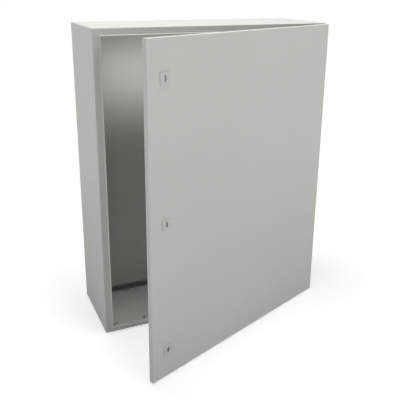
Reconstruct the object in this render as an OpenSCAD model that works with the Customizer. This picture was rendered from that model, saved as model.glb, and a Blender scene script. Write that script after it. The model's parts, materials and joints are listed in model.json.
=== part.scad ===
// Steel wall enclosure with a full-height hinged door, three cam locks and a mounting plate.
// Frame: X across the front, the wall plane at y = 0 with the door toward -Y, Z up,
// origin at the centre of the four wall-fixing holes.

/* [Case] */
// Overall width of the case
case_w = 800; // [600:10:1200]
// Overall height of the case
case_h = 1000; // [800:10:1400]
// Depth from the wall to the front flange
case_d = 279; // [240:1:400]
// Thickness of the case sheet
case_t = 1.5; // [1:0.1:2]
// Outside radius of the folded case edges
case_r = 2.5; // [2:0.1:4]
// Width of the flange round the front of the case
flange_w = 20; // [19:0.25:22]
// How far the hemmed sealing lip stands in front of the flange
lip_out = 12; // [9:0.25:13]
// Outside radius of the sealing lip's hem
lip_r = 1.4; // [1:0.1:1.5]
// Radius of the hole in the lock-side flange
flange_hole_r = 2.5; // [1.5:0.1:3]
// Distance of that hole from the side of the case
flange_hole_in = 9; // [7:0.25:9]

/* [Wall fixing] */
// Radius of the four wall-fixing holes
wall_hole_r = 4.5; // [3:0.1:6]
// Distance of the wall-fixing holes from the case's sides
wall_hole_in_x = 30; // [25:1:34]
// Distance of the wall-fixing holes from its top and bottom
wall_hole_in_z = 30; // [25:1:36]

/* [Mounting plate] */
// Thickness of the mounting plate
plate_t = 2.5; // [1.5:0.1:3]
// Gap between the plate and the outside of the case's sides
plate_in_x = 27; // [22:1:40]
// Gap between the plate and the outside of its top and bottom
plate_in_z = 30; // [26:1:40]
// Depth of the plate's folded side edges
plate_fold = 15; // [8:0.5:20]
// Size of the square notch in each corner of the plate
plate_notch = 32; // [26:1:36]
// Distance from the rear panel to the back of the plate
plate_gap = 28; // [22:1:60]
// Radius of the mounting studs
stud_r = 4; // [3:0.25:5]
// Distance of the mounting studs from the case's sides
stud_in_x = 75; // [70:1:120]
// Distance of the mounting studs from its top and bottom
stud_in_z = 90; // [85:1:150]
// How far a stud stands past its nut
stud_past_nut = 5; // [2:0.5:8]

/* [Gland plate] */
// Distance of the gland plate's ends from the sides of the case
gland_in_x = 35; // [32:0.5:60]
// Distance of the gland plate from the wall
gland_in_back = 41.5; // [38:0.5:60]
// Distance of the gland plate from the front of the case
gland_in_front = 21.5; // [18:0.5:40]
// Thickness of the gland plate
gland_t = 2; // [1:0.1:3]
// Thickness of its gasket
gland_seal_t = 3; // [1:0.25:4]
// Width of the rim that seals round the opening
gland_rim = 18; // [16:0.5:24]
// Distance of the gland studs from the plate's edge
gland_stud_in = 9; // [8:0.25:10]
// Radius of the gland studs
gland_stud_r = 3; // [2:0.25:3.5]
// Gland studs along each long side
gland_studs = 8; // [4:1:12]

/* [Door] */
// Thickness of the door sheet
door_t = 2; // [1.5:0.1:2.5]
// Outside radius of the door's folded edges
door_r = 3; // [2.6:0.1:4]
// Depth of the door's folded returns
door_return = 16.5; // [15:0.25:17]
// Gap between the returns and the front flange
door_gap = 4.5; // [4:0.25:6]
// Set-in of the door from each side of the case
door_in_x = 1; // [0.5:0.25:2]
// Set-in of the door from the top and bottom of the case
door_in_z = 3.5; // [1:0.25:5]
// How far the door stands open
door_open = 21.5; // [0:0.5:98]
// Width of the foamed door gasket
seal_w = 9; // [8:0.25:10]
// Gap between the gasket and the sealing lip when the door is shut
seal_gap = 0.4; // [0.3:0.1:1]

/* [Door rails] */
// Width of the perforated rails
rail_w = 25; // [20:1:35]
// Depth of the perforated rails
rail_d = 18; // [12:1:22]
// Thickness of the rail sheet
rail_t = 1.5; // [1:0.1:2]
// Distance of the rails from the sides of the case
rail_in_x = 105; // [102:1:125]
// Distance of the rails' ends from its top and bottom
rail_in_z = 48; // [40:1:80]
// Pitch of the holes in the rails
rail_pitch = 25; // [20:5:50]
// Radius of the holes in the rails
rail_hole_r = 2.5; // [1.5:0.1:4]

/* [Hinges] */
// Distance of the hinge axis from the door's side
hinge_in = 5.5; // [5:0.25:6.5]
// Distance of the hinge axis behind the door's face
hinge_back = 7; // [6.8:0.1:8]
// Radius of the hinge pins
pin_r = 2.5; // [1.5:0.1:2.7]
// Outside radius of the hinge knuckles
knuckle_r = 4.2; // [4:0.1:4.3]
// Length of the door's knuckles
knuckle_len = 36; // [24:1:60]
// Thickness of the ears on the case's leaves
ear_t = 4; // [3:0.25:6]
// Thickness of the case leaves' uprights
leaf_t = 2.6; // [2:0.1:2.9]
// Distance of those uprights from the hinge axis
leaf_in = 9.5; // [9:0.1:10]
// Width of the case leaves' feet on the flange
foot_w = 12; // [8:0.5:14]
// Thickness of those feet
foot_t = 2; // [1.5:0.1:3]
// Distance of the outer hinges from top and bottom
hinge_in_z = 160; // [140:5:250]

/* [Locks] */
// Distance of the locks from the door's free edge
lock_in = 58; // [56:0.5:60]
// Distance of the outer locks from top and bottom of the case
lock_in_z = 100; // [90:5:200]
// How far all three locks sit below the places that would centre them
lock_drop = 6; // [0:0.5:15]
// Side of the square lock faces
lock_face = 34; // [30:0.5:40]
// Thickness of the lock faces
lock_face_t = 2.4; // [1.5:0.1:4]
// Radius of the threaded lock barrels
barrel_r = 11; // [10.5:0.25:12]
// Radius of the turning inserts
insert_r = 9.4; // [9:0.1:9.6]
// Radius of the round keyhole in each insert
socket_r = 4.8; // [3.5:0.1:6]
// Height of the keyhole over the slots for the key's two bits
keyhole_len = 16; // [12:0.5:16.5]
// Width of those slots
keyhole_w = 4.4; // [3:0.2:6]
// Radius of the pin in each keyhole
bit_r = 1.9; // [1:0.1:2.4]
// Thickness of the cams
cam_t = 3; // [2:0.1:4]
// Width of the cams
cam_w = 18; // [14:0.5:22]
// Overlap of a cam behind the flange when locked
cam_hold = 6; // [3:0.25:9]
// Turn of the cams from the open position
lock_turn = 0; // [0:1:90]

/* [Hidden] */

$fn = 48;
cut = 1;                    // how far cutters run past the faces they cut
fold_steps = 4;             // facets in a sheet fold
least_fold_r = 0.2;         // inside radius of the sharpest folds
door_corner_r = 1;          // corners of the door, seen from the front
door_inner_corner_r = 0.5;
lock_face_r = 2;            // corners of the lock faces

// Clearances
stud_clear = 0.5;           // plate and washer holes over their studs
nut_clear = 0.05;           // nuts and ring nuts over their threads
pin_clear = 0.05;           // running fit of the hinge pins
turn_clear = 0.05;          // running fit of the lock inserts
leaf_clear = 0.4;           // end play between ears and knuckles
notch_clear = 3;            // space above and below a case leaf in the door's return

// Planes of the case
front_y = -case_d;
floor_z = -case_h / 2 + case_t;
lip_t = 2 * case_t;
mouth_in = flange_w + lip_t;
lip_y = front_y - lip_out;

// Planes of the shut door
door_w = case_w - 2 * door_in_x;
door_h = case_h - 2 * door_in_z;
door_y = front_y - door_gap - door_return;
inner_y = door_y + door_t;

// Hinge axis and heights
axis_x = door_w / 2 - hinge_in;
axis_y = door_y + hinge_back;
hinge_z = case_h / 2 - hinge_in_z;
leaf_len = knuckle_len + 2 * (ear_t + leaf_clear);
leaf_x = axis_x - leaf_in;
pin_head_over = 1.3;         // rim of a pin's head
pin_head_r = pin_r + pin_head_over;
pin_head_t = 1.5;
pin_tail = 1.5;
ear_front = 2;               // front edge of an ear behind the axis
ear_root = 6;                // where an ear meets its leaf, behind the axis
leaf_front = 5.5;            // front edge of a case leaf behind the axis
knuckle_web = 3;             // the door's knuckles past the axis, to the free side

// Lock places
lock_x = -door_w / 2 + lock_in;
upper_lock_z = case_h / 2 - lock_in_z - lock_drop;
middle_lock_z = -lock_drop;
lower_lock_z = lock_in_z - case_h / 2 - lock_drop;
lock_heights = [lower_lock_z, middle_lock_z, upper_lock_z];
cam_clear = 0.4;             // behind the flange, when locked
barrel_gap = 0.5;            // end of a barrel to its cam
cam_y = front_y + case_t + cam_clear;
cam_reach = lock_x + case_w / 2 - mouth_in + cam_hold;
cam_square = 8;
barrel_end_y = cam_y - barrel_gap;
ring_nut_t = 5;
ring_nut_wall = 4.5;         // past the barrel, to the corners
ring_nut_r = barrel_r + ring_nut_wall;
socket_deep = 6;
face_recess = 0.6;
pin_recess = 0.8;
cam_screw_r = 3;
cam_screw_head_r = 6;
cam_screw_head_t = 4;
cam_screw_deep = 6;

// Fasteners: across-corner radius, height and washer sizes follow the stud
nut_r = stud_r * 1.83;
nut_t = stud_r * 1.6;
washer_r = stud_r * 2;
washer_t = 1.6;
gland_nut_r = gland_stud_r * 1.9;
gland_nut_t = gland_stud_r * 1.65;
gland_washer_r = gland_stud_r * 2.05;
gland_washer_t = 1.2;

// Mounting plate
plate_w = case_w - 2 * plate_in_x;
plate_h = case_h - 2 * plate_in_z;
plate_y = -case_t - plate_gap - plate_t;
stud_x = case_w / 2 - stud_in_x;
stud_z = case_h / 2 - stud_in_z;
stud_len = plate_gap + plate_t + washer_t + nut_t + stud_past_nut;

// Gland plate
gland_w = case_w - 2 * gland_in_x;
gland_d = case_d - gland_in_back - gland_in_front;
gland_y = -gland_in_back - gland_d / 2;
gland_top_z = floor_z + gland_seal_t + gland_t;

// Earthing points
earth_past_nut = 4;
earth_stud_len = 2 * (washer_t + nut_t) + earth_past_nut;
earth_case_in = 18;          // from the side of the case
earth_case_back = 30;        // from its front
earth_door_in = 45;          // from the hinge axis
earth_door_up = 60;          // from the bottom of the case

skin = [0.71, 0.72, 0.70];
zinc = [0.78, 0.79, 0.80];
foam = [0.16, 0.16, 0.17];

// Points of an arc about [cx, cy]
function arc(cx, cy, r, from, to) =
    [for (i = [0:fold_steps]) let (a = from + (to - from) * i / fold_steps)
        [cx + r * cos(a), cy + r * sin(a)]];

// Inside radius of a fold of outside radius r in sheet of thickness t
function inside(r, t) = max(r - t, least_fold_r);

// A w by h rectangle with all four corners rounded
module round_rect(w, h, r)
    polygon(concat(
        arc(w / 2 - r, h / 2 - r, r, 0, 90),
        arc(r - w / 2, h / 2 - r, r, 90, 180),
        arc(r - w / 2, r - h / 2, r, 180, 270),
        arc(w / 2 - r, r - h / 2, r, 270, 360)));

// A w wide profile from y = front to y = back with only its front corners rounded
module front_rounded(w, front, back, r)
    polygon(concat(
        [[w / 2, back], [-w / 2, back]],
        arc(r - w / 2, front + r, r, 180, 270),
        arc(w / 2 - r, front + r, r, 270, 360)));

// A block as folded from sheet: front edges rounded by r, its four long edges by corner_r
module folded_block(w, h, front, back, r, corner_r)
    intersection() {
        linear_extrude(h, center = true)
            front_rounded(w, front, back, r);
        rotate([0, 90, 0])
            linear_extrude(w, center = true)
                front_rounded(h, front, back, r);
        translate([0, back, 0])
            rotate([90, 0, 0])
                linear_extrude(back - front)
                    round_rect(w, h, corner_r);
    }

// A rectangular block set in from the case's sides, between two depths
module slab(set_in, front, back)
    translate([-case_w / 2 + set_in, front, -case_h / 2 + set_in])
        cube([case_w - 2 * set_in, back - front, case_h - 2 * set_in]);

// A rectangular ring of sheet, between two set-ins and two depths
module ring(outer_in, inner_in, front, back)
    difference() {
        slab(outer_in, front, back);
        slab(inner_in, front - cut, back + cut);
    }

// A cylinder along Y from y = front to y = back
module y_rod(r, front, back, sides = 48)
    translate([0, back, 0])
        rotate([90, 0, 0])
            cylinder(r = r, h = back - front, $fn = sides);

// A cylinder with a hole through it, along Z from z = 0
module washer(outer, inner, t)
    difference() {
        cylinder(r = outer, h = t);
        translate([0, 0, -cut])
            cylinder(r = inner, h = t + 2 * cut);
    }

// A hexagon nut along Z from z = 0
module nut(corner_r, inner, t)
    difference() {
        cylinder(r = corner_r, h = t, $fn = 6);
        translate([0, 0, -cut])
            cylinder(r = inner, h = t + 2 * cut);
    }

// Copies at the four corners of a rectangle in the wall plane
module at_corners(x, z)
    for (sx = [-1, 1])
        for (sz = [-1, 1])
            translate([sx * x, 0, sz * z])
                children();

// Turns a Z-built fastener to point forward from the wall
module forward()
    rotate([90, 0, 0])
        children();

// Carries a piece of the shut door to where the door stands
module on_door()
    translate([axis_x, axis_y, 0])
        rotate([0, 0, door_open])
            translate([-axis_x, -axis_y, 0])
                children();

// Carries a piece of a lock to its height on the door
module at_lock(height)
    on_door()
        translate([lock_x, 0, height])
            children();

// ---- Case ----

// Sides, top and bottom wrapped from one sheet, with the front flange and its sealing lip
module case_shell() {
    inner_r = inside(case_r, case_t);
    color(skin)
        difference() {
            union() {
                difference() {
                    folded_block(case_w, case_h, front_y, 0, case_r, case_r);
                    folded_block(case_w - 2 * case_t, case_h - 2 * case_t,
                        front_y + case_t, cut, inner_r, inner_r);
                }
                sealing_lip();
            }
            slab(mouth_in, lip_y - cut, front_y + case_t + cut);
            translate([-case_w / 2 + flange_hole_in, 0, 0])
                y_rod(flange_hole_r, front_y - cut, front_y + case_t + cut);
            gland_opening(floor_z - case_t - cut, floor_z + cut);
        }
}

// The flange's inner edge, turned forward and hemmed back on itself, before the mouth is cut
module sealing_lip()
    folded_block(case_w - 2 * flange_w, case_h - 2 * flange_w,
        lip_y, front_y + case_t, lip_r, lip_r);

module rear_panel()
    color(skin)
        difference() {
            forward()
                linear_extrude(case_t)
                    round_rect(case_w - 2 * case_t, case_h - 2 * case_t, inside(case_r, case_t));
            at_corners(case_w / 2 - wall_hole_in_x, case_h / 2 - wall_hole_in_z)
                y_rod(wall_hole_r, -case_t - cut, cut);
        }

// ---- Gland plate ----

// The opening in the bottom of the case that the gland plate covers
module gland_opening(low, high)
    translate([-gland_w / 2 + gland_rim, gland_y - gland_d / 2 + gland_rim, low])
        cube([gland_w - 2 * gland_rim, gland_d - 2 * gland_rim, high - low]);

// Copies at each gland stud, at height z
module at_gland_studs(z) {
    reach = gland_w / 2 - gland_stud_in;
    for (side = [-1, 1])
        for (i = [0:gland_studs - 1])
            translate([-reach + 2 * reach * i / (gland_studs - 1),
                gland_y + side * (gland_d / 2 - gland_stud_in), z])
                children();
}

// A sheet of the gland plate's outline, drilled for its studs
module gland_sheet(z, t)
    difference() {
        translate([-gland_w / 2, gland_y - gland_d / 2, z])
            cube([gland_w, gland_d, t]);
        at_gland_studs(z - cut)
            cylinder(r = gland_stud_r + stud_clear, h = t + 2 * cut);
    }

module gland_plate_gasket()
    color(foam)
        difference() {
            gland_sheet(floor_z, gland_seal_t);
            gland_opening(floor_z - cut, floor_z + gland_seal_t + cut);
        }

module gland_plate()
    color(skin)
        gland_sheet(floor_z + gland_seal_t, gland_t);

module gland_plate_studs()
    color(zinc)
        at_gland_studs(floor_z)
            cylinder(r = gland_stud_r,
                h = gland_seal_t + gland_t + gland_washer_t + gland_nut_t + gland_stud_r);

module gland_plate_washers()
    color(zinc)
        at_gland_studs(gland_top_z)
            washer(gland_washer_r, gland_stud_r + stud_clear, gland_washer_t);

module gland_plate_nuts()
    color(zinc)
        at_gland_studs(gland_top_z + gland_washer_t)
            nut(gland_nut_r, gland_stud_r + nut_clear, gland_nut_t);

// ---- Mounting plate ----

module mounting_plate()
    color(skin)
        difference() {
            translate([-plate_w / 2, plate_y, -plate_h / 2])
                cube([plate_w, plate_t + plate_fold, plate_h]);
            translate([-plate_w / 2 + plate_t, plate_y + plate_t, -plate_h / 2 - cut])
                cube([plate_w - 2 * plate_t, plate_fold + cut, plate_h + 2 * cut]);
            at_corners(plate_w / 2, plate_h / 2)
                translate([-plate_notch, plate_y - cut, -plate_notch])
                    cube([2 * plate_notch, plate_t + plate_fold + 2 * cut, 2 * plate_notch]);
            at_corners(stud_x, stud_z)
                y_rod(stud_r + stud_clear, plate_y - cut, plate_y + plate_t + cut);
        }

module mounting_plate_studs()
    color(zinc)
        at_corners(stud_x, stud_z)
            y_rod(stud_r, -case_t - stud_len, -case_t);

module mounting_plate_spacers()
    color(zinc)
        at_corners(stud_x, stud_z)
            translate([0, -case_t, 0])
                forward()
                    washer(washer_r, stud_r + stud_clear, plate_gap);

module mounting_plate_washers()
    color(zinc)
        at_corners(stud_x, stud_z)
            translate([0, plate_y, 0])
                forward()
                    washer(washer_r, stud_r + stud_clear, washer_t);

module mounting_plate_nuts()
    color(zinc)
        at_corners(stud_x, stud_z)
            translate([0, plate_y - washer_t, 0])
                forward()
                    nut(nut_r, stud_r + nut_clear, nut_t);

// ---- Earthing points, built along Z from their panel ----

module earth_stud()
    cylinder(r = stud_r, h = earth_stud_len);

// A washer on the panel and one between the two nuts
module earth_washers()
    for (z = [0, washer_t + nut_t])
        translate([0, 0, z])
            washer(washer_r, stud_r + stud_clear, washer_t);

// The clamping nuts on their washers
module earth_nuts()
    for (z = [washer_t, 2 * washer_t + nut_t])
        translate([0, 0, z])
            nut(nut_r, stud_r + nut_clear, nut_t);

module at_case_earth()
    translate([case_w / 2 - earth_case_in, front_y + earth_case_back, floor_z])
        children();

module at_door_earth()
    on_door()
        translate([axis_x - earth_door_in, inner_y, earth_door_up - case_h / 2])
            rotate([-90, 0, 0])
                children();

module case_earth_stud()
    color(zinc)
        at_case_earth()
            earth_stud();

module case_earth_washers()
    color(zinc)
        at_case_earth()
            earth_washers();

module case_earth_nuts()
    color(zinc)
        at_case_earth()
            earth_nuts();

module door_earth_stud()
    color(zinc)
        at_door_earth()
            earth_stud();

module door_earth_washers()
    color(zinc)
        at_door_earth()
            earth_washers();

module door_earth_nuts()
    color(zinc)
        at_door_earth()
            earth_nuts();

// ---- Hinges ----

// An ear of a case leaf: round the pin and back to the upright on the flange
module hinge_ear(z)
    translate([0, 0, z])
        difference() {
            union() {
                translate([axis_x, axis_y, 0])
                    cylinder(r = knuckle_r, h = ear_t);
                linear_extrude(ear_t)
                    polygon([[axis_x, axis_y + knuckle_r], [axis_x - knuckle_r, axis_y],
                        [leaf_x, axis_y + ear_front], [leaf_x, front_y],
                        [leaf_x + leaf_t, front_y], [leaf_x + leaf_t, axis_y + ear_root]]);
            }
            translate([axis_x, axis_y, -cut])
                cylinder(r = pin_r + pin_clear, h = ear_t + 2 * cut);
        }

// The leaf welded to the flange, with one ear above and one below the door's knuckle
module hinge_case_leaf(height)
    color(zinc)
        translate([0, 0, height - leaf_len / 2]) {
            translate([leaf_x, axis_y + leaf_front, 0])
                cube([leaf_t, front_y - axis_y - leaf_front, leaf_len]);
            translate([leaf_x, front_y - foot_t, 0])
                cube([foot_w, foot_t, leaf_len]);
            hinge_ear(0);
            hinge_ear(leaf_len - ear_t);
        }

// The knuckle welded to the inside of the door
module hinge_door_leaf(height)
    color(zinc)
        on_door()
            translate([axis_x, axis_y, height - knuckle_len / 2])
                difference() {
                    union() {
                        cylinder(r = knuckle_r, h = knuckle_len);
                        translate([-knuckle_web, door_t - hinge_back, 0])
                            cube([knuckle_web + knuckle_r, hinge_back - door_t, knuckle_len]);
                    }
                    translate([0, 0, -cut])
                        cylinder(r = pin_r + pin_clear, h = knuckle_len + 2 * cut);
                }

// Headed pins dropped in from above
module hinge_pins()
    color(zinc)
        for (height = [-hinge_z, 0, hinge_z])
            translate([axis_x, axis_y, height - leaf_len / 2 - pin_tail]) {
                cylinder(r = pin_r, h = leaf_len + pin_tail + cut);
                translate([0, 0, leaf_len + pin_tail])
                    cylinder(r = pin_head_r, h = pin_head_t);
            }

// ---- Door ----

module door_skin()
    color(skin)
        on_door()
            difference() {
                folded_block(door_w, door_h, door_y, door_y + door_return, door_r, door_corner_r);
                folded_block(door_w - 2 * door_t, door_h - 2 * door_t,
                    inner_y, door_y + door_return + cut, inside(door_r, door_t), door_inner_corner_r);
                for (height = [-hinge_z, 0, hinge_z])
                    translate([door_w / 2 - door_t - cut, inner_y, height - leaf_len / 2 - notch_clear])
                        cube([door_t + 2 * cut, door_return, leaf_len + 2 * notch_clear]);
                for (height = lock_heights)
                    translate([lock_x, 0, height])
                        y_rod(barrel_r + nut_clear, door_y - cut, inner_y + cut);
            }

module door_gasket()
    color(foam)
        on_door() {
            set_in = flange_w + (lip_t - seal_w) / 2;
            ring(set_in, set_in + seal_w, inner_y, lip_y - seal_gap);
        }

// A perforated channel welded to the inside of the door; side is -1 or 1
module door_rail(side) {
    length = case_h - 2 * rail_in_z;
    holes = floor((length / 2 - rail_pitch / 2) / rail_pitch);
    color(skin)
        on_door()
            translate([side * (case_w / 2 - rail_in_x - rail_w / 2), inner_y, 0])
                difference() {
                    translate([-rail_w / 2, 0, -length / 2])
                        cube([rail_w, rail_d, length]);
                    translate([-rail_w / 2 + rail_t, -cut, -length / 2 - cut])
                        cube([rail_w - 2 * rail_t, rail_d - rail_t + cut, length + 2 * cut]);
                    for (i = [-holes:holes])
                        translate([0, 0, i * rail_pitch])
                            y_rod(rail_hole_r, rail_d - rail_t - cut, rail_d + cut);
                }
}

// ---- Locks ----

module lock_housing(height)
    color(skin)
        at_lock(height)
            difference() {
                union() {
                    translate([0, door_y, 0])
                        forward()
                            linear_extrude(lock_face_t)
                                round_rect(lock_face, lock_face, lock_face_r);
                    y_rod(barrel_r, door_y, barrel_end_y);
                }
                y_rod(insert_r + turn_clear, door_y - lock_face_t - cut, barrel_end_y + cut);
            }

module lock_ring_nuts()
    color(zinc)
        for (height = lock_heights)
            at_lock(height)
                difference() {
                    y_rod(ring_nut_r, inner_y, inner_y + ring_nut_t, 6);
                    y_rod(barrel_r + nut_clear, inner_y - cut, inner_y + ring_nut_t + cut);
                }

// The turning insert: key socket with its pin in front, square tail for the cam behind
module lock_insert(height)
    color(zinc)
        at_lock(height) {
            face_y = door_y - lock_face_t + face_recess;
            tail_y = cam_y + cam_t;
            difference() {
                union() {
                    y_rod(insert_r, face_y, barrel_end_y);
                    translate([-cam_square / 2, barrel_end_y - cut, -cam_square / 2])
                        cube([cam_square, tail_y - barrel_end_y + cut, cam_square]);
                }
                y_rod(socket_r, face_y - cut, face_y + socket_deep);
                translate([-keyhole_w / 2, face_y - cut, -keyhole_len / 2])
                    cube([keyhole_w, socket_deep + cut, keyhole_len]);
                y_rod(cam_screw_r, tail_y - cam_screw_deep, tail_y + cut);
            }
            y_rod(bit_r, face_y + pin_recess, face_y + socket_deep + cut);
        }

// The cam hangs down when open and swings to the door's free edge to lock
module lock_cam(height)
    color(zinc)
        at_lock(height)
            rotate([0, lock_turn, 0])
                difference() {
                    union() {
                        y_rod(cam_w / 2, cam_y, cam_y + cam_t);
                        translate([-cam_w / 2, cam_y, -cam_reach])
                            cube([cam_w, cam_t, cam_reach]);
                    }
                    translate([-cam_square / 2, cam_y - cut, -cam_square / 2])
                        cube([cam_square, cam_t + 2 * cut, cam_square]);
                }

module lock_screw(height)
    color(zinc)
        at_lock(height) {
            tail_y = cam_y + cam_t;
            y_rod(cam_screw_head_r, tail_y, tail_y + cam_screw_head_t, 6);
            y_rod(cam_screw_r, tail_y - cam_screw_deep + cut, tail_y + cut);
        }

case_shell();
rear_panel();
gland_plate_gasket();
gland_plate();
gland_plate_studs();
gland_plate_washers();
gland_plate_nuts();
mounting_plate_studs();
mounting_plate_spacers();
mounting_plate();
mounting_plate_washers();
mounting_plate_nuts();
case_earth_stud();
case_earth_washers();
case_earth_nuts();
hinge_case_leaf(hinge_z);  // upper_hinge_case_leaf
hinge_case_leaf(0);  // middle_hinge_case_leaf
hinge_case_leaf(-hinge_z);  // lower_hinge_case_leaf
hinge_pins();
door_skin();
door_gasket();
door_rail(-1);  // lock_side_rail
door_rail(1);  // hinge_side_rail
hinge_door_leaf(hinge_z);  // upper_hinge_door_leaf
hinge_door_leaf(0);  // middle_hinge_door_leaf
hinge_door_leaf(-hinge_z);  // lower_hinge_door_leaf
door_earth_stud();
door_earth_washers();
door_earth_nuts();
lock_housing(upper_lock_z);  // upper_lock_housing
lock_housing(middle_lock_z);  // middle_lock_housing
lock_housing(lower_lock_z);  // lower_lock_housing
lock_ring_nuts();
lock_insert(upper_lock_z);  // upper_lock_insert
lock_insert(middle_lock_z);  // middle_lock_insert
lock_insert(lower_lock_z);  // lower_lock_insert
lock_cam(upper_lock_z);  // upper_lock_cam
lock_cam(middle_lock_z);  // middle_lock_cam
lock_cam(lower_lock_z);  // lower_lock_cam
lock_screw(upper_lock_z);  // upper_lock_screw
lock_screw(middle_lock_z);  // middle_lock_screw
lock_screw(lower_lock_z);  // lower_lock_screw
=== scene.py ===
# Steel wall enclosure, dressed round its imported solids. Metres, Z up, the door towards -Y.
import json
from cmath import exp, phase
from math import ceil, cos, pi, radians, sin, tan

import bmesh
import bpy
from mathutils import Matrix, Vector


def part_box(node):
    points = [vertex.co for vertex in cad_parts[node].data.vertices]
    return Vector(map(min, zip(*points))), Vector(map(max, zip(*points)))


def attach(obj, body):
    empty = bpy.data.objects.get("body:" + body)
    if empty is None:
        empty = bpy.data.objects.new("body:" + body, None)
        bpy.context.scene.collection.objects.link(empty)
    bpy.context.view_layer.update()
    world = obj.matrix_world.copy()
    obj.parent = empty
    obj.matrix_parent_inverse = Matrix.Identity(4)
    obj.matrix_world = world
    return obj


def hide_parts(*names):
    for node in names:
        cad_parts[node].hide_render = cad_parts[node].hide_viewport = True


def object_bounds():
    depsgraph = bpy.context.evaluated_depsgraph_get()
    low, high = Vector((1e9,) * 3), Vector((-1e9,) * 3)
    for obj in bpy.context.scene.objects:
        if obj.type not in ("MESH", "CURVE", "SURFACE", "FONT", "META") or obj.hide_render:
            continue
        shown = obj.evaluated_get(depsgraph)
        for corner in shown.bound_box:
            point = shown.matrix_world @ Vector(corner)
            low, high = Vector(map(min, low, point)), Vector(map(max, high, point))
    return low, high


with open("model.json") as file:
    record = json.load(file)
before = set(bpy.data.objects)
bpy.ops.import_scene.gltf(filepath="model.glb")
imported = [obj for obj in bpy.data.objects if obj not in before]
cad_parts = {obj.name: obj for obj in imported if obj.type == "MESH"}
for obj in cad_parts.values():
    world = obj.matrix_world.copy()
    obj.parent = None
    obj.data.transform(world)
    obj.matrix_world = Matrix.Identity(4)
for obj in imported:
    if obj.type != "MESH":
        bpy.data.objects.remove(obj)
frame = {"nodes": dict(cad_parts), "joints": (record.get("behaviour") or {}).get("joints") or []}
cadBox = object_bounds()

mm = 0.001
places = ("upper", "middle", "lower")
scene = bpy.context.scene
hinge = next(joint for joint in frame["joints"] if joint["name"] == "door_hinge")
pivot = Vector(hinge["pos_m"])
openAngle = radians(-hinge["range_deg"][0])  # from shut to where the door stands
toOpen = (Matrix.Translation(pivot) @ Matrix.Rotation(openAngle, 4, "Z")
          @ Matrix.Translation(-pivot))
toShut = toOpen.inverted()
asPacked = Matrix.Identity(4)
alongY = Matrix.Rotation(-pi / 2, 4, "X")  # turns a shape built along Z
weldWithin = 1e-6
sharpFrom = {"folded": 35, "turned": 30, "softened": 50, "bead": 60}  # degrees between faces


def boxOf(points):
    return tuple(Vector(pick(point[i] for point in points) for i in range(3))
                 for pick in (min, max))


# A door node's lowest and highest corners with the door shut
def shutBox(node):
    return boxOf([toShut @ vertex.co for vertex in frame["nodes"][node].data.vertices])


# The middles of the separate solids in a node
def solidCentres(node, place=asPacked):
    work = bmesh.new()
    work.from_mesh(frame["nodes"][node].data)
    bmesh.ops.remove_doubles(work, verts=work.verts, dist=weldWithin)
    centres, seen = [], set()
    for first in work.verts:
        if first in seen:
            continue
        waiting, points = [first], []
        seen.add(first)
        while waiting:
            vertex = waiting.pop()
            points.append(place @ vertex.co)
            for other in (edge.other_vert(vertex) for edge in vertex.link_edges):
                if other not in seen:
                    seen.add(other)
                    waiting.append(other)
        low, high = boxOf(points)
        centres.append((low + high) / 2)
    work.free()
    return centres


camera = {
    "place": (-0.7952, -1.9414, 0.6259),
    "azimuth": 24.11,  # degrees towards +X from looking along +Y
    "down": 17.708,
    "roll": 0.508,
    "lens": 52.0,
    "shift": (-0.0061, -0.0826),
}


def makeCamera():
    data = bpy.data.cameras.new("view")
    data.lens = camera["lens"]
    data.shift_x, data.shift_y = camera["shift"]
    azimuth, down, roll = (radians(camera[key]) for key in ("azimuth", "down", "roll"))
    forward = Vector((sin(azimuth) * cos(down), cos(azimuth) * cos(down), -sin(down)))
    right = Vector((cos(azimuth), -sin(azimuth), 0))
    up = right.cross(forward)
    across = right * cos(roll) + up * sin(roll)
    above = up * cos(roll) - right * sin(roll)
    view = bpy.data.objects.new("view", data)
    turn = Matrix((across, above, -forward)).transposed().to_4x4()
    view.matrix_world = Matrix.Translation(camera["place"]) @ turn
    scene.collection.objects.link(view)
    scene.camera = view


makeCamera()
print("camera: set")


# A socket of a node tree; sums and products of it add Math nodes
class Wire:
    def __init__(self, tree, socket):
        self.tree = tree
        self.socket = socket

    def math(self, operation, *values):
        settings = {"operation": operation}
        return self.tree.add("ShaderNodeMath", settings, dict(enumerate(values)))

    def __add__(self, other):
        return self.math("ADD", self, other)

    def __radd__(self, other):
        return self.math("ADD", other, self)

    def __mul__(self, other):
        return self.math("MULTIPLY", self, other)


# A node tree filled through one method: kind, settings, then socket values or wires
class Tree:
    def __init__(self, nodeTree):
        self.nodes = nodeTree.nodes
        self.links = nodeTree.links

    def add(self, kind, settings=None, inputs=None, output=0):
        node = self.nodes.new(kind)
        for key, value in (settings or {}).items():
            if key == "stops":
                for element, (position, level) in zip(node.color_ramp.elements, value):
                    element.position = position
                    element.color = (level, level, level, 1)
            else:
                setattr(node, key, value)
        for key, value in (inputs or {}).items():
            self.feed(node.inputs[key], value)
        return Wire(self, node.outputs[output]) if node.outputs else node

    def feed(self, socket, value):
        if isinstance(value, Wire):
            self.links.new(value.socket, socket)
        else:
            socket.default_value = value

    def noise(self, place, scale, detail=2.0, rough=0.5, stretch=None):
        if stretch:
            place = self.add("ShaderNodeMapping", {}, {"Vector": place, "Scale": stretch})
        values = {"Vector": place, "Scale": scale, "Detail": detail, "Roughness": rough}
        return self.add("ShaderNodeTexNoise", {}, values)

    def ramp(self, value, low, high):
        return self.add("ShaderNodeValToRGB", {"stops": ((low, 0.0), (high, 1.0))}, {"Fac": value})

    def mix(self, factor, first, second):
        values = {0: factor, 6: first, 7: second}
        return self.add("ShaderNodeMix", {"data_type": "RGBA"}, values, output=2)

    def bump(self, height, strength, distance, normal=None):
        inputs = {"Height": height, "Strength": strength, "Distance": distance}
        if normal:
            inputs["Normal"] = normal
        return self.add("ShaderNodeBump", {}, inputs)


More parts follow.
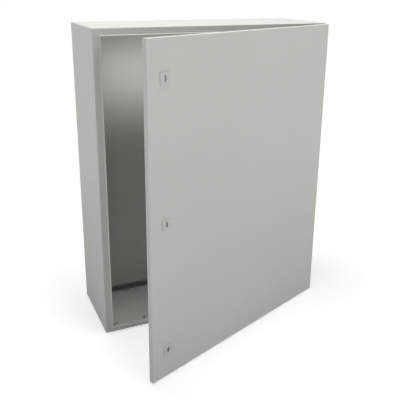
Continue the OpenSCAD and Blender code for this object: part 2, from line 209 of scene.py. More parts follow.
# A material with a Principled shader; fixed holds what is the same all over
def newMaterial(name, fixed):
    material = bpy.data.materials.new(name)
    material.use_nodes = True
    tree = Tree(material.node_tree)
    shader = tree.nodes["Principled BSDF"]
    for key, value in fixed.items():
        shader.inputs[key].default_value = value
    place = tree.add("ShaderNodeTexCoord", output="Object")
    return material, tree, shader, place


# In the finishes a noise is (scale, detail, roughness) and a bump is (strength, distance)
paint = {
    "shader": {"IOR": 1.48, "Specular IOR Level": 0.42},
    "colour": (0.575, 0.585, 0.548),
    "dull": (0.552, 0.561, 0.524),
    "rough": 0.44,
    "mottle": (2.6, 3.0, 0.6),
    "cloud": (38.0, 3.0, 0.55),
    "cloudShare": 0.3,
    "patches": (0.32, 0.68),
    "sheet": (4.5, 1.0, 0.4),
    "sheetBump": (0.12, 1.2 * mm),
    "peel": (620.0, 2.0, 0.45),
    "peelBump": (0.30, 0.14 * mm),
    "peelRough": 0.06,
    "grain": (2100.0, 1.0, 0.5),
    "grainBump": (0.15, 0.05 * mm),
    "cloudRough": 0.04,
}


# Powder coat: an orange-peel skin over a faintly wavy sheet
def powderCoat(name, tone=1.0, wave=1.0, rough=paint["rough"]):
    material, tree, shader, place = newMaterial(name, paint["shader"])
    light, dull = (tuple(part * tone for part in paint[key]) + (1,) for key in ("colour", "dull"))
    mottle, cloud, peel, grain, sheet = (
        tree.noise(place, *paint[key]) for key in ("mottle", "cloud", "peel", "grain", "sheet"))
    patches = mottle * (1 - paint["cloudShare"]) + cloud * paint["cloudShare"]
    colour = tree.mix(tree.ramp(patches, *paint["patches"]), dull, light)
    tree.feed(shader.inputs["Base Color"], colour)
    smoothest = rough - paint["cloudRough"]
    tree.feed(shader.inputs["Roughness"],
              smoothest + peel * paint["peelRough"] + cloud * paint["cloudRough"])
    strength, height = paint["sheetBump"]
    wavy = tree.bump(sheet, strength * wave, height)
    skin = tree.bump(peel, *paint["peelBump"], wavy)
    tree.feed(shader.inputs["Normal"], tree.bump(grain, *paint["grainBump"], skin))
    return material


plating = {
    "bloom": (90.0, 3.0, 0.6),
    "bloomShade": 0.8,
    "patches": (0.38, 0.62),
    "bloomRough": 0.12,
    "lines": (900.0, 2.0, 0.5),
    "stretch": (1.0, 1.0, 0.08),
    "linesRough": 0.06,
    "linesBump": (0.2, 0.04 * mm),
}


# Plated metal: a cloudy bloom over fine drawn lines
def platedMetal(name, tone, rough, tint):
    material, tree, shader, place = newMaterial(name, {"Metallic": 1.0})
    bloom = tree.noise(place, *plating["bloom"])
    lines = tree.noise(place, *plating["lines"], plating["stretch"])
    light, dull = (tuple(tone * part * depth for part in tint) + (1,)
                   for depth in (1.0, plating["bloomShade"]))
    colour = tree.mix(tree.ramp(bloom, *plating["patches"]), dull, light)
    tree.feed(shader.inputs["Base Color"], colour)
    tree.feed(shader.inputs["Roughness"],
              rough + bloom * plating["bloomRough"] + lines * plating["linesRough"])
    tree.feed(shader.inputs["Normal"], tree.bump(lines, *plating["linesBump"]))
    return material


foam = {
    "dark": (0.016, 0.016, 0.017, 1),
    "pale": (0.034, 0.034, 0.036, 1),
    "patches": (0.3, 0.7),
    "rough": 0.72,
    "swell": (70.0, 2.0, 0.5),
    "swellBump": (0.5, 0.6 * mm),
    "pits": (1400.0, 2.0, 0.6),
    "pitsBump": (0.4, 0.12 * mm),
    "pitsRough": 0.16,
}


# Skinned sealing foam: matt, with the swells and pits of a free surface
def sealFoam(name):
    material, tree, shader, place = newMaterial(name, {"Specular IOR Level": 0.25})
    swell, pits = (tree.noise(place, *foam[key]) for key in ("swell", "pits"))
    colour = tree.mix(tree.ramp(swell, *foam["patches"]), foam["dark"], foam["pale"])
    tree.feed(shader.inputs["Base Color"], colour)
    tree.feed(shader.inputs["Roughness"], foam["rough"] + pits * foam["pitsRough"])
    swollen = tree.bump(swell, *foam["swellBump"])
    tree.feed(shader.inputs["Normal"], tree.bump(pits, *foam["pitsBump"], swollen))
    return material


finishes = {
    "casePaint": powderCoat("casePaint"),
    "doorPaint": powderCoat("doorPaint"),
    "platePaint": powderCoat("platePaint", 0.97, 0.7, 0.5),
    "glandPaint": powderCoat("glandPaint", 0.97, 0.4, 0.5),
    "lockPaint": powderCoat("lockPaint", 0.95, 0.0, 0.38),
    "zinc": platedMetal("zincPlate", 0.7, 0.35, (1.0, 1.01, 1.02)),
    "nickel": platedMetal("nickelPlate", 0.6, 0.22, (1.0, 1.0, 0.98)),
    "foam": sealFoam("sealFoam"),
}
print("finishes:", len(finishes))


def meshOf(name, vertices, faces):
    mesh = bpy.data.meshes.new(name)
    mesh.from_pydata(vertices, [], faces)
    return mesh


# Puts meshes together as one with closed seams and outward faces
def joined(name, *meshes):
    work = bmesh.new()
    for mesh in meshes:
        work.from_mesh(mesh)
    bmesh.ops.remove_doubles(work, verts=work.verts, dist=weldWithin)
    bmesh.ops.dissolve_degenerate(work, edges=work.edges, dist=weldWithin)
    bmesh.ops.recalc_face_normals(work, faces=work.faces)
    if work.calc_volume(signed=True) < 0:
        bmesh.ops.reverse_faces(work, faces=work.faces)
    mesh = bpy.data.meshes.new(name)
    work.to_mesh(mesh)
    work.free()
    return mesh


def shade(mesh, finish, form):
    mesh.shade_smooth()
    mesh.set_sharp_from_angle(angle=radians(sharpFrom[form]))
    mesh.materials.clear()
    mesh.materials.append(finishes[finish])


def makePiece(name, meshes, finish, form="folded"):
    mesh = joined(name, *meshes)
    shade(mesh, finish, form)
    piece = bpy.data.objects.new(name, mesh)
    scene.collection.objects.link(piece)
    return piece


# Turns a piece and its modifiers into a plain mesh
def settle(piece):
    bpy.context.view_layer.update()
    graph = bpy.context.evaluated_depsgraph_get()
    mesh = bpy.data.meshes.new_from_object(piece.evaluated_get(graph), depsgraph=graph)
    mesh.name = piece.name
    piece.modifiers.clear()
    piece.data = mesh


# Cuts closed meshes out of a piece
def cutAway(piece, cutters):
    tools = [makePiece("cutter", [mesh], "zinc") for mesh in cutters]
    for tool in tools:
        modifier = piece.modifiers.new("cut", "BOOLEAN")
        modifier.operation = "DIFFERENCE"
        modifier.solver = "EXACT"
        modifier.object = tool
    settle(piece)
    for tool in tools:
        bpy.data.objects.remove(tool)


# Shades a finished mesh, seats it and hands it to its body in place of a CAD node
def fit(piece, body, finish, node, place=asPacked, form="folded"):
    piece.data.transform(place)
    shade(piece.data, finish, form)
    modifier = piece.modifiers.new("shading", "WEIGHTED_NORMAL")
    modifier.keep_sharp = True
    settle(piece)
    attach(piece, body)
    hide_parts(node)


def block(low, high):
    corners = [(x, y, z) for x in (low[0], high[0]) for y in (low[1], high[1])
               for z in (low[2], high[2])]
    faces = [(0, 1, 3, 2), (4, 6, 7, 5), (0, 4, 5, 1), (2, 3, 7, 6), (0, 2, 6, 4), (1, 5, 7, 3)]
    return meshOf("block", corners, faces)


# A shape turned about Z; outline gives its (radius, height) points at each angle
def turned(outline, count=48, closed=False):
    rows = [outline(2 * pi * k / count) for k in range(count)]
    size = len(rows[0])
    vertices, faces = [], []
    for k, row in enumerate(rows):
        angle = 2 * pi * k / count
        vertices += [(r * cos(angle), r * sin(angle), z) for r, z in row]
        here, there = k * size, (k + 1) % count * size
        faces += [(here + i, there + i, there + (i + 1) % size, here + (i + 1) % size)
                  for i in range(size if closed else size - 1)]
    return meshOf("turned", vertices, faces)


# A straight cylinder along Y between two depths
def yRod(x, z, radius, front, back, count=48):
    mesh = turned(lambda angle: [(0, front), (radius, front), (radius, back), (0, back)], count)
    mesh.transform(Matrix.Translation((x, 0, z)) @ alongY)
    return mesh


# Both faces of a sheet whose middle line runs through the corners and is bent at each
def bentSheet(corners, bends, thickness, steps=5):
    points = [complex(*corner) for corner in corners]
    first, last = points[1] - points[0], points[-1] - points[-2]
    line = [(points[0], first / abs(first))]
    for before, corner, after, bend in zip(points, points[1:], points[2:], bends):
        along = (corner - before) / abs(corner - before)
        turn = phase((after - corner) / (corner - before))
        side = 1j if turn > 0 else -1j
        centre = corner - along * bend * tan(abs(turn) / 2) + along * side * bend
        for k in range(steps + 1):
            swing = exp(1j * turn * k / steps)
            line.append((centre - along * side * bend * swing, along * swing))
    line.append((points[-1], last / abs(last)))
    left, right = ([point + along * 1j * offset for point, along in line]
                   for offset in (thickness / 2, -thickness / 2))
    return [(point.real, point.imag) for point in left + right[::-1]]


# Carries (set-in, y) points round a rectangle; past the corner radius they meet in a mitre
def carried(outline, width, height, cornerRadius, steps=6, closed=True):
    vertices = []
    for quarter, (signX, signZ) in enumerate(((1, 1), (-1, 1), (-1, -1), (1, -1))):
        for step in range(steps + 1):
            angle = (quarter + step / steps) * pi / 2
            for setIn, y in outline:
                centre, radius = max(cornerRadius, setIn), max(cornerRadius - setIn, 0)
                vertices.append((signX * (width / 2 - centre) + radius * cos(angle), y,
                                 signZ * (height / 2 - centre) + radius * sin(angle)))
    around, size = 4 * (steps + 1), len(outline)
    faces = []
    for a in range(around):
        here, there = a * size, (a + 1) % around * size
        faces += [(here + i, here + (i + 1) % size, there + (i + 1) % size, there + i)
                  for i in range(size if closed else size - 1)]
    if not closed:
        faces += [tuple(a * size + end for a in range(around)) for end in (0, size - 1)]
    return meshOf("carried", vertices, faces)


# A closed (x, y) outline raised between two heights
def raised(outline, low, high):
    size = len(outline)
    vertices = [(x, y, z) for z in (low, high) for x, y in outline]
    faces = [(i, (i + 1) % size, size + (i + 1) % size, size + i) for i in range(size)]
    faces += [tuple(range(size)), tuple(range(size, 2 * size))]
    return meshOf("raised", vertices, faces)


# A CAD node's own shape with its edges broken
def softened(name, node, body, finish, edge, segments=2):
    work = bmesh.new()
    work.from_mesh(frame["nodes"][node].data)
    bmesh.ops.remove_doubles(work, verts=work.verts, dist=weldWithin)
    flat = radians(1)
    bmesh.ops.dissolve_limit(work, angle_limit=flat, verts=work.verts, edges=work.edges)
    mesh = bpy.data.meshes.new(name)
    work.to_mesh(mesh)
    work.free()
    piece = makePiece(name, [mesh], finish)
    modifier = piece.modifiers.new("edges", "BEVEL")
    modifier.width = edge
    modifier.segments = segments
    modifier.limit_method = "ANGLE"
    modifier.angle_limit = radians(40)
    settle(piece)
    fit(piece, body, finish, node, form="softened")


# A geometry tree with named inputs; build gets the tree and the inputs' wires
def geometryTree(name, kinds, build):
    group = bpy.data.node_groups.new(name, "GeometryNodeTree")
    for label, kind in kinds.items():
        group.interface.new_socket(label, in_out="INPUT", socket_type="NodeSocket" + kind)
    group.interface.new_socket("Geometry", in_out="OUTPUT", socket_type="NodeSocketGeometry")
    tree = Tree(group)
    given = group.nodes.new("NodeGroupInput")
    made = group.nodes.new("NodeGroupOutput")
    wires = {label: Wire(tree, given.outputs[label]) for label in kinds}
    tree.feed(made.inputs[0], build(tree, wires))
    return group


# Sets a tree's inputs on a piece and turns the result into a plain mesh
def grow(piece, group, values):
    modifier = piece.modifiers.new(group.name, "NODES")
    modifier.node_group = group
    for item in group.interface.items_tree:
        if item.in_out == "INPUT" and item.name in values:
            modifier[item.identifier] = values[item.name]
    settle(piece)


# One piece on every point of the mesh, each turned a little about its axis
def buildPiecesOnPoints(tree, given):
    piece = tree.add("GeometryNodeObjectInfo", {}, {"Object": given["Piece"]}, output="Geometry")
    least, most, seed = 2, 3, 8  # the sockets share their names with other data types
    spin = tree.add("FunctionNodeRandomValue", {"data_type": "FLOAT"},
                    {least: given["Spin"] * -1.0, most: given["Spin"], seed: 5}, output=1)
    turn = tree.add("FunctionNodeAxisAngleToRotation", {},
                    {"Axis": given["Axis"], "Angle": spin})
    pieces = tree.add("GeometryNodeInstanceOnPoints", {},
                      {"Points": given["Geometry"], "Instance": piece, "Rotation": turn})
    real = tree.add("GeometryNodeRealizeInstances", {}, {"Geometry": pieces})
    return tree.add("GeometryNodeSetMaterial", {},
                    {"Geometry": real, "Material": given["Material"]})


# A straight row of round holes drilled through a rail
def buildPerforatedRail(tree, given):
    row = tree.add("GeometryNodeMeshLine", {"mode": "OFFSET"},
                   {"Count": given["Holes"], "Start Location": given["First Hole"],
                    "Offset": given["Pitch"]})
    drill = tree.add("GeometryNodeMeshCylinder", {},
                     {"Vertices": 24, "Radius": given["Radius"], "Depth": given["Drill Length"]})
    drills = tree.add("GeometryNodeInstanceOnPoints", {},
                      {"Points": row, "Instance": drill, "Rotation": (pi / 2, 0, 0)})
    real = tree.add("GeometryNodeRealizeInstances", {}, {"Geometry": drills})
    drilled = tree.add("GeometryNodeMeshBoolean", {"operation": "DIFFERENCE", "solver": "EXACT"},
                       {"Mesh 1": given["Geometry"], "Mesh 2": real})
    return tree.add("GeometryNodeSetMaterial", {},
                    {"Geometry": drilled, "Material": given["Material"]})


piecesOnPoints = geometryTree(
    "piecesOnPoints",
    {"Geometry": "Geometry", "Piece": "Object", "Axis": "Vector", "Spin": "Float",
     "Material": "Material"},
    buildPiecesOnPoints)
perforatedRail = geometryTree(
    "perforatedRail",
    {"Geometry": "Geometry", "Holes": "Int", "First Hole": "Vector", "Pitch": "Vector",
     "Radius": "Float", "Drill Length": "Float", "Material": "Material"},
    buildPerforatedRail)


# Copies of a shape built about its own middle, one for each solid of a node
def repeated(name, node, body, finish, mesh, onDoor=False, axis=(0, 0, 1), spin=0.0):
    centres = solidCentres(node, toShut if onDoor else asPacked)
    shape = makePiece(name + "Shape", [mesh], finish, "turned")
    points = meshOf(name, [tuple(centre) for centre in centres], [])
    piece = bpy.data.objects.new(name, points)
    scene.collection.objects.link(piece)
    grow(piece, piecesOnPoints,
         {"Piece": shape, "Axis": axis, "Spin": spin, "Material": finishes[finish]})
    bpy.data.objects.remove(shape)
    fit(piece, body, finish, node, toOpen if onDoor else asPacked, "turned")


caseSheet = {
    "thickness": 1.5 * mm,
    "fold": 2.5 * mm,  # outside radius
    "rootFold": 1.3 * mm,  # middle line, where the lip leaves the flange
    "flange": 20.0 * mm,
    "hemGap": 0.1 * mm,
    "flangeHole": 2.5 * mm,
    "flangeHoleSetIn": 9.0 * mm,
    "glandRim": 18.0 * mm,  # from the gasket's edge to the opening
    "cutPast": 10.0 * mm,
}


def makeCase():
    low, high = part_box("case_shell")
    t, flange = caseSheet["thickness"], caseSheet["flange"]
    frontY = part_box("upper_hinge_case_leaf")[1].y
    hem = t + caseSheet["hemGap"]
    corners = [(t / 2, high.y), (t / 2, frontY + t / 2), (flange + t / 2, frontY + t / 2),
               (flange + t / 2, low.y + t / 2), (flange + t / 2 + hem, low.y + t / 2),
               (flange + t / 2 + hem, frontY + t)]
    bends = [caseSheet["fold"] - t / 2, caseSheet["rootFold"], hem / 2, hem / 2]
    outline = bentSheet(corners, bends, t)
    wrap = carried(outline, high.x - low.x, high.z - low.z, caseSheet["fold"])
    shell = makePiece("caseShell", [wrap], "casePaint")
    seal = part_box("gland_plate_gasket")
    rim, past = caseSheet["glandRim"], caseSheet["cutPast"]
    opening = block(seal[0] + Vector((rim, rim, -past)), seal[1] - Vector((rim, rim, 0)))
    hole = yRod(low.x + caseSheet["flangeHoleSetIn"], 0, caseSheet["flangeHole"],
                frontY - t, frontY + 2 * t, 32)
    cutAway(shell, [opening, hole])
    fit(shell, "case", "casePaint", "case_shell")


makeCase()
softened("rearPanel", "rear_panel", "case", "casePaint", 0.2 * mm, 1)
print("case: folded and cut")


mountingPlate = {
    "thickness": 2.5 * mm,
    "fold": 3.0 * mm,
    "notch": 32.0 * mm,
    "studHole": 4.5 * mm,
}


def makeMountingPlate():
    low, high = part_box("mounting_plate")
    t, notch = mountingPlate["thickness"], mountingPlate["notch"]
    corners = [(low.x + t / 2, high.y), (low.x + t / 2, low.y + t / 2),
               (high.x - t / 2, low.y + t / 2), (high.x - t / 2, high.y)]
    outline = bentSheet(corners, [mountingPlate["fold"] - t / 2] * 2, t)
    plate = makePiece("mountingPlate", [raised(outline, low.z, high.z)], "platePaint")
    reach = Vector((notch, high.y - low.y, notch))
    notched = [Vector((x, (low.y + high.y) / 2, z)) for x in (low.x, high.x)
               for z in (low.z, high.z)]
    cutters = [block(corner - reach, corner + reach) for corner in notched]
    for centre in solidCentres("mounting_plate_studs"):
        cutters.append(yRod(centre.x, centre.z, mountingPlate["studHole"],
                            low.y - t, low.y + 2 * t, 32))
    cutAway(plate, cutters)
    fit(plate, "case", "platePaint", "mounting_plate")


makeMountingPlate()
softened("glandPlate", "gland_plate", "case", "glandPaint", 0.3 * mm)
softened("glandPlateGasket", "gland_plate_gasket", "case", "foam", 0.5 * mm)
print("plates: made")


hexagon = {
    "face": 0.96,  # radius of the flat end, as a share of the distance across flats
    "slope": tan(pi / 6),  # of the turned chamfer at the corners
}


# A hexagon's reach from its centre at an angle
def hexRadius(angle, corner):
    return corner * cos(pi / 6) / cos(angle % (pi / 3) - pi / 6)


def nutMesh(corner, bore, height, chamfer):
    rim = corner * cos(pi / 6) * hexagon["face"]

    def outline(angle):
        radius = hexRadius(angle, corner)
        drop = (radius - rim) * hexagon["slope"]
        half = [(radius, height / 2 - drop), (rim, height / 2), (bore + chamfer, height / 2),
                (bore, height / 2 - chamfer)]
        return half + [(r, -z) for r, z in half[::-1]]

    return turned(outline, 48, True)


def washerMesh(outer, bore, thickness, edge):
    half = [(bore, thickness / 2), (outer - edge, thickness / 2), (outer, thickness / 2 - edge)]
    outline = half + [(r, -z) for r, z in half[::-1]]
    return turned(lambda angle: outline, 36, True)


# Thread rows over a rod or the outside of a tube, as (radius, height)
def threadRows(angle, radius, length, pitch, depth, perTurn=4):
    rows = ceil(length / pitch * perTurn)
    points = []
    for k in range(rows + 1):
        z = length * (k / rows - 0.5)
        wave = abs((z / pitch - angle / (2 * pi)) % 1 - 0.5) * 2
        end = min(length / 2 - abs(z), depth) / depth
        points.append((radius - depth * (1 - wave * end), z))
    return points


def studMesh(radius, length, pitch):
    depth = pitch * fastener["threadDepth"]

    def outline(angle):
        thread = threadRows(angle, radius, length, pitch, depth)
        return [(0, -length / 2)] + thread + [(0, length / 2)]

    return turned(outline, 16)


fastener = {
    "studRadius": 4.0 * mm,
    "studPitch": 1.25 * mm,
    "threadDepth": 0.54,  # of the pitch
    "nutCorner": 7.32 * mm,
    "nutHeight": 6.4 * mm,
    "washerRadius": 8.0 * mm,
    "washerBore": 4.5 * mm,
    "washerThickness": 1.6 * mm,
    "nutChamfer": 0.4 * mm,
    "washerEdge": 0.25 * mm,
    "spacerEdge": 0.4 * mm,
    "spacerLength": 28.0 * mm,
    "glandStudRadius": 3.0 * mm,
    "glandStudPitch": 1.0 * mm,
    "glandNutCorner": 5.7 * mm,
    "glandNutHeight": 4.95 * mm,
    "glandWasherRadius": 6.15 * mm,
    "glandWasherBore": 3.5 * mm,
    "glandWasherThickness": 1.2 * mm,
    "spin": 0.5,  # nuts stop at any angle
}


def makeFasteners():
    f = fastener
    spin, upright, across = f["spin"], (0, 0, 1), (0, 1, 0)

    def turnedToWall(mesh):
        copy = mesh.copy()
        copy.transform(alongY)
        return copy

    def studFor(node, radius, pitch, onDoor=False):
        low, high = shutBox(node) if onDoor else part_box(node)
        standing = node.startswith(("gland", "case_earth"))
        length = high.z - low.z if standing else high.y - low.y
        mesh = studMesh(radius, length, pitch)
        return mesh if standing else turnedToWall(mesh)

    def caseFastener(name, node, mesh, axis=upright, spin=0.0):
        repeated(name, node, "case", "zinc", mesh, False, axis, spin)

    def doorFastener(name, node, mesh, axis=upright, spin=0.0):
        repeated(name, node, "door", "zinc", mesh, True, axis, spin)

    nut = nutMesh(f["nutCorner"], f["studRadius"], f["nutHeight"], f["nutChamfer"])
    washer = washerMesh(f["washerRadius"], f["washerBore"], f["washerThickness"], f["washerEdge"])
    spacer = washerMesh(f["washerRadius"], f["washerBore"], f["spacerLength"], f["spacerEdge"])
    glandNut = nutMesh(f["glandNutCorner"], f["glandStudRadius"], f["glandNutHeight"],
                       f["nutChamfer"])
    glandWasher = washerMesh(f["glandWasherRadius"], f["glandWasherBore"],
                             f["glandWasherThickness"], f["washerEdge"])
    glandStud = studFor("gland_plate_studs", f["glandStudRadius"], f["glandStudPitch"])
    plateStud = studFor("mounting_plate_studs", f["studRadius"], f["studPitch"])
    caseStud = studFor("case_earth_stud", f["studRadius"], f["studPitch"])
    doorStud = studFor("door_earth_stud", f["studRadius"], f["studPitch"], True)
    nutOnWall, washerOnWall = turnedToWall(nut), turnedToWall(washer)

    caseFastener("glandPlateStuds", "gland_plate_studs", glandStud)
    caseFastener("glandPlateWashers", "gland_plate_washers", glandWasher)
    caseFastener("glandPlateNuts", "gland_plate_nuts", glandNut, upright, spin)
    caseFastener("mountingPlateStuds", "mounting_plate_studs", plateStud)
    caseFastener("mountingPlateSpacers", "mounting_plate_spacers", turnedToWall(spacer))
    caseFastener("mountingPlateWashers", "mounting_plate_washers", washerOnWall)
    caseFastener("mountingPlateNuts", "mounting_plate_nuts", nutOnWall, across, spin)
    caseFastener("caseEarthStud", "case_earth_stud", caseStud)
    caseFastener("caseEarthWashers", "case_earth_washers", washer)
    caseFastener("caseEarthNuts", "case_earth_nuts", nut, upright, spin)
    doorFastener("doorEarthStud", "door_earth_stud", doorStud)
    doorFastener("doorEarthWashers", "door_earth_washers", washerOnWall)
    doorFastener("doorEarthNuts", "door_earth_nuts", nutOnWall, across, spin)


makeFasteners()
print("fasteners: threaded and seated")


doorSheet = {
    "thickness": 2.0 * mm,
    "fold": 3.0 * mm,
    "corner": 1.0 * mm,
    "faceSetIn": 30.0 * mm,
    "barrelHole": 11.05 * mm,
    "notchClear": 3.0 * mm,
}


def makeDoor():
    low, high = shutBox("door_skin")
    t = doorSheet["thickness"]
    corners = [(doorSheet["faceSetIn"], low.y + t / 2), (t / 2, low.y + t / 2), (t / 2, high.y)]
    outline = bentSheet(corners, [doorSheet["fold"] - t / 2], t)
    pan = carried(outline, high.x - low.x, high.z - low.z, doorSheet["corner"], closed=False)
    skin = makePiece("doorSkin", [pan], "doorPaint")
    cutters = []
    for place in places:
        lockLow, lockHigh = shutBox(place + "_lock_insert")
        middle = (lockLow + lockHigh) / 2
        cutters.append(yRod(middle.x, middle.z, doorSheet["barrelHole"],
                            low.y - t, low.y + 2 * t))
        leafLow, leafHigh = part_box(place + "_hinge_case_leaf")
        clear = doorSheet["notchClear"]
        cutters.append(block((high.x - 2 * t, low.y + t, leafLow.z - clear),
                             (high.x + t, high.y + t, leafHigh.z + clear)))
    cutAway(skin, cutters)
    fit(skin, "door", "doorPaint", "door_skin", toOpen)


doorGasket = {
    "corner": 13.0 * mm,
    "fullness": 0.75,  # below 1 the bead's sides stand steeper
}


# A foamed bead: flat where it was laid, domed on top, rounded at the door's corners
def makeGasket():
    low, high = shutBox("door_gasket")
    vertices = frame["nodes"]["door_gasket"].data.vertices
    width = high.x - min(abs((toShut @ vertex.co).x) for vertex in vertices)
    depth, count, outline = high.y - low.y, 10, []
    for k in range(count + 1):
        angle = pi * k / count
        y = low.y + depth * sin(angle) ** doorGasket["fullness"]
        outline.append((width / 2 * (1 - cos(angle)), y))
    bead = carried(outline, high.x - low.x, high.z - low.z, doorGasket["corner"], 10)
    gasket = makePiece("doorGasket", [bead], "foam")
    fit(gasket, "door", "foam", "door_gasket", toOpen, "bead")


rail = {
    "thickness": 1.5 * mm,
    "fold": 2.2 * mm,
    "holeRadius": 2.5 * mm,
    "pitch": 25.0 * mm,
}


def makeRail(name, node):
    low, high = shutBox(node)
    t = rail["thickness"]
    corners = [(low.x + t / 2, low.y), (low.x + t / 2, high.y - t / 2),
               (high.x - t / 2, high.y - t / 2), (high.x - t / 2, low.y)]
    outline = bentSheet(corners, [rail["fold"] - t / 2] * 2, t, 4)
    piece = makePiece(name, [raised(outline, low.z, high.z)], "doorPaint")
    reach = int((high.z - rail["pitch"] / 2) / rail["pitch"])
    first = ((low.x + high.x) / 2, high.y - t / 2, -reach * rail["pitch"])
    grow(piece, perforatedRail,
         {"Holes": 2 * reach + 1, "First Hole": first, "Pitch": (0, 0, rail["pitch"]),
          "Radius": rail["holeRadius"], "Drill Length": 3 * t, "Material": finishes["doorPaint"]})
    fit(piece, "door", "doorPaint", node, toOpen)


makeDoor()
makeGasket()
makeRail("lockSideRail", "lock_side_rail")
makeRail("hingeSideRail", "hinge_side_rail")
print("door: folded, drilled and sealed")


hingeSet = {
    "pinRadius": 2.5 * mm,
    "headRadius": 3.8 * mm,
    "headHeight": 1.5 * mm,
    "tip": 0.6 * mm,
    "tail": 1.5 * mm,  # below the case leaf
    "leafEdge": 0.35 * mm,
}


def makeHinges():
    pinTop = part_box("hinge_pins")[1].z
    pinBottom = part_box("upper_hinge_case_leaf")[0].z - hingeSet["tail"]
    end = (pinTop - pinBottom) / 2
    r, head, tip = hingeSet["pinRadius"], hingeSet["headRadius"], hingeSet["tip"]
    neck = end - hingeSet["headHeight"]
    outline = [(0, -end), (r - tip, -end), (r, tip - end), (r, neck), (head, neck),
               (head, end - tip), (head - tip, end), (0, end)]
    repeated("hingePins", "hinge_pins", "case", "zinc", turned(lambda angle: outline, 32))
    edge = hingeSet["leafEdge"]
    for place in places:
        caseLeaf, doorLeaf = place + "_hinge_case_leaf", place + "_hinge_door_leaf"
        softened(place + "HingeCaseLeaf", caseLeaf, "case", "zinc", edge)
        softened(place + "HingeDoorLeaf", doorLeaf, "door", "zinc", edge)


makeHinges()
print("hinges: made")


lock = {
    "faceThickness": 2.4 * mm,
    "corner": 2.0 * mm,
    "edge": 0.45 * mm,
    "edgeBreak": 0.3,  # how far along the edge its middle point lies
    "capSetIn": 5.0 * mm,
    "bore": 9.45 * mm,
    "boreChamfer": 0.6 * mm,
    "barrelRadius": 11.0 * mm,
    "pitch": 1.5 * mm,
    "threadDepth": 0.7 * mm,
    "ringNutCorner": 15.5 * mm,
    "ringNutHeight": 5.0 * mm,
    "ringNutChamfer": 0.6 * mm,
    "screwHead": 6.0 * mm,
    "screwHeadHeight": 4.0 * mm,
    "screwShank": 3.0 * mm,
    "insertEdge": 0.3 * mm,
    "camEdge": 0.45 * mm,
    "cutPast": 1.0 * mm,
    "spin": 0.5,
}


# A square face with broken edges, and behind it the threaded barrel
def makeHousing(place):
    low, high = shutBox(place + "_lock_housing")
    middle = (low + high) / 2
    edge, back, bore = lock["edge"], low.y + lock["faceThickness"], lock["bore"]
    broken = edge * lock["edgeBreak"]
    outline = [(lock["capSetIn"], low.y), (edge, low.y), (broken, low.y + broken),
               (0, low.y + edge), (0, back), (lock["capSetIn"], back)]
    plate = carried(outline, high.x - low.x, high.z - low.z, lock["corner"], 5, False)
    plate.transform(Matrix.Translation((middle.x, 0, middle.z)))
    face = makePiece(place + "LockHousing", [plate], "lockPaint")
    chamfer, past = lock["boreChamfer"], lock["cutPast"]
    wide = bore + chamfer
    reamer = turned(lambda angle: [
        (0, low.y - past), (wide + past, low.y - past), (wide, low.y), (bore, low.y + chamfer),
        (bore, back + past), (0, back + past)])
    reamer.transform(Matrix.Translation((middle.x, 0, middle.z)) @ alongY)
    cutAway(face, [reamer])
    length = high.y - back
    thread = (lock["barrelRadius"], length, lock["pitch"], lock["threadDepth"])
    inside = [(bore, length / 2), (bore, -length / 2)]
    barrel = turned(lambda angle: inside + threadRows(angle, *thread), 40, True)
    barrel.transform(Matrix.Translation((middle.x, back + length / 2, middle.z)) @ alongY)
    face.data = joined(face.name, face.data, joined("barrel", barrel))
    fit(face, "door", "lockPaint", place + "_lock_housing", toOpen)


def makeLockScrew(place):
    low, high = shutBox(place + "_lock_screw")
    end = (high.y - low.y) / 2
    head, shank = lock["screwHead"], lock["screwShank"]
    rim, seat = head * cos(pi / 6) * hexagon["face"], end - lock["screwHeadHeight"]

    def outline(angle):
        radius = hexRadius(angle, head)
        drop = (radius - rim) * hexagon["slope"]
        return [(0, -end), (shank, -end), (shank, seat), (radius, seat), (radius, end - drop),
                (rim, end), (0, end)]

    mesh = turned(outline)
    mesh.transform(alongY)
    repeated(place + "LockScrew", place + "_lock_screw", place + "_lock", "zinc", mesh, True,
             (0, 1, 0), lock["spin"])


def makeLocks():
    for place in places:
        body, insert, cam = place + "_lock", place + "_lock_insert", place + "_lock_cam"
        makeHousing(place)
        makeLockScrew(place)
        softened(place + "LockInsert", insert, body, "nickel", lock["insertEdge"])
        softened(place + "LockCam", cam, body, "zinc", lock["camEdge"], 3)
    ringNut = nutMesh(lock["ringNutCorner"], lock["barrelRadius"], lock["ringNutHeight"],
                      lock["ringNutChamfer"])
    ringNut.transform(alongY)
    repeated("lockRingNuts", "lock_ring_nuts", "door", "zinc", ringNut, True, (0, 1, 0),
             lock["spin"])


makeLocks()
print("locks: made")


studio = {
    "floorSize": 30.0,
    "floorDark": (0.58, 0.58, 0.58, 1),
    "floorPale": (0.62, 0.62, 0.62, 1),
    "floorPatches": 3.0,
    "floorGlow": 0.6,  # as the camera sees it
    "floorBounce": (0.3, 0.3, 0.3, 1),  # what share of the glow lights the enclosure
    "clearFrom": 0.9,  # the floor fades to the backdrop's white over these distances
    "clearTo": 1.8,
    "ambient": 0.175,  # of the backdrop's white, as it lights the enclosure
    "mirrored": 0.85,  # of the backdrop's white, as polished metal shows it
    "backdrop": (1, 1, 1, 1),
}
lamps = (
    # name, place, aim, width, height, watts, spread in degrees
    ("overhead", (-0.1, -0.25, 2.6), (0, -0.2, 0.4), 1.8, 0.9, 62.0, 180),
    ("front", (1.5, -4.1, 0.4), (0, -0.3, -0.1), 2.4, 3.0, 51.0, 180),
    ("side", (-3.2, -1.3, -0.1), (-0.4, -0.2, -0.1), 1.4, 2.4, 19.0, 180),
    ("inside", (-0.12, -0.26, 0.31), (-0.12, 0, 0.34), 0.5, 0.12, 0.225, 110),
)


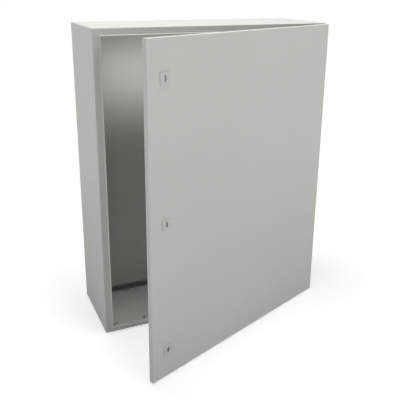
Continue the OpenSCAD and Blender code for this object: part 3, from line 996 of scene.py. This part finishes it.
def makeStudio():
    half = studio["floorSize"] / 2
    z = cadBox[0].z
    corners = [(-half, -half, z), (half, -half, z), (half, half, z), (-half, half, z)]
    mesh = meshOf("floor", corners, [(0, 1, 2, 3)])
    floor = bpy.data.objects.new("floor", mesh)
    scene.collection.objects.link(floor)
    white = studio["backdrop"]
    material, tree, shader, place = newMaterial("paleFloor", {
        "Roughness": 0.9, "Specular IOR Level": 0.1, "Emission Strength": studio["floorGlow"]})
    seen = tree.add("ShaderNodeLightPath", output="Is Camera Ray")
    tree.feed(shader.inputs["Emission Color"], tree.mix(seen, studio["floorBounce"], white))
    patches = tree.noise(place, studio["floorPatches"])
    tree.feed(shader.inputs["Base Color"],
              tree.mix(patches, studio["floorDark"], studio["floorPale"]))
    distance = tree.add("ShaderNodeVectorMath", {"operation": "LENGTH"}, {0: place}, output="Value")
    reach = {"Value": distance, "From Min": studio["clearFrom"], "From Max": studio["clearTo"]}
    clear = tree.add("ShaderNodeMapRange", {"interpolation_type": "SMOOTHSTEP"}, reach)
    glow = tree.add("ShaderNodeEmission", {}, {"Color": white})
    ground = Wire(tree, shader.outputs[0])
    blend = tree.add("ShaderNodeMixShader", {}, {0: clear, 1: ground, 2: glow})
    tree.feed(tree.nodes["Material Output"].inputs["Surface"], blend)
    mesh.materials.append(material)
    for name, stand, aim, width, height, watts, spread in lamps:
        data = bpy.data.lights.new(name, "AREA")
        data.shape = "RECTANGLE"
        data.size, data.size_y = width, height
        data.energy = watts
        data.spread = radians(spread)
        lamp = bpy.data.objects.new(name, data)
        lamp.location = stand
        lamp.visible_camera = False
        lamp.rotation_euler = (Vector(aim) - Vector(stand)).to_track_quat("-Z", "Y").to_euler()
        scene.collection.objects.link(lamp)
    world = bpy.data.worlds.new("studio")
    world.use_nodes = True
    tree = Tree(world.node_tree)
    background = tree.nodes["Background"]
    seen = tree.add("ShaderNodeLightPath", output="Is Camera Ray")
    mirrored = tree.add("ShaderNodeLightPath", output="Is Glossy Ray")
    share = seen.math("MAXIMUM", seen, mirrored * studio["mirrored"])
    ambient = studio["ambient"]
    tree.feed(background.inputs["Strength"], ambient + share * (1.0 - ambient))
    tree.feed(background.inputs["Color"], white)
    scene.world = world
    scene.view_settings.view_transform = "Standard"


makeStudio()
print("studio: lit")
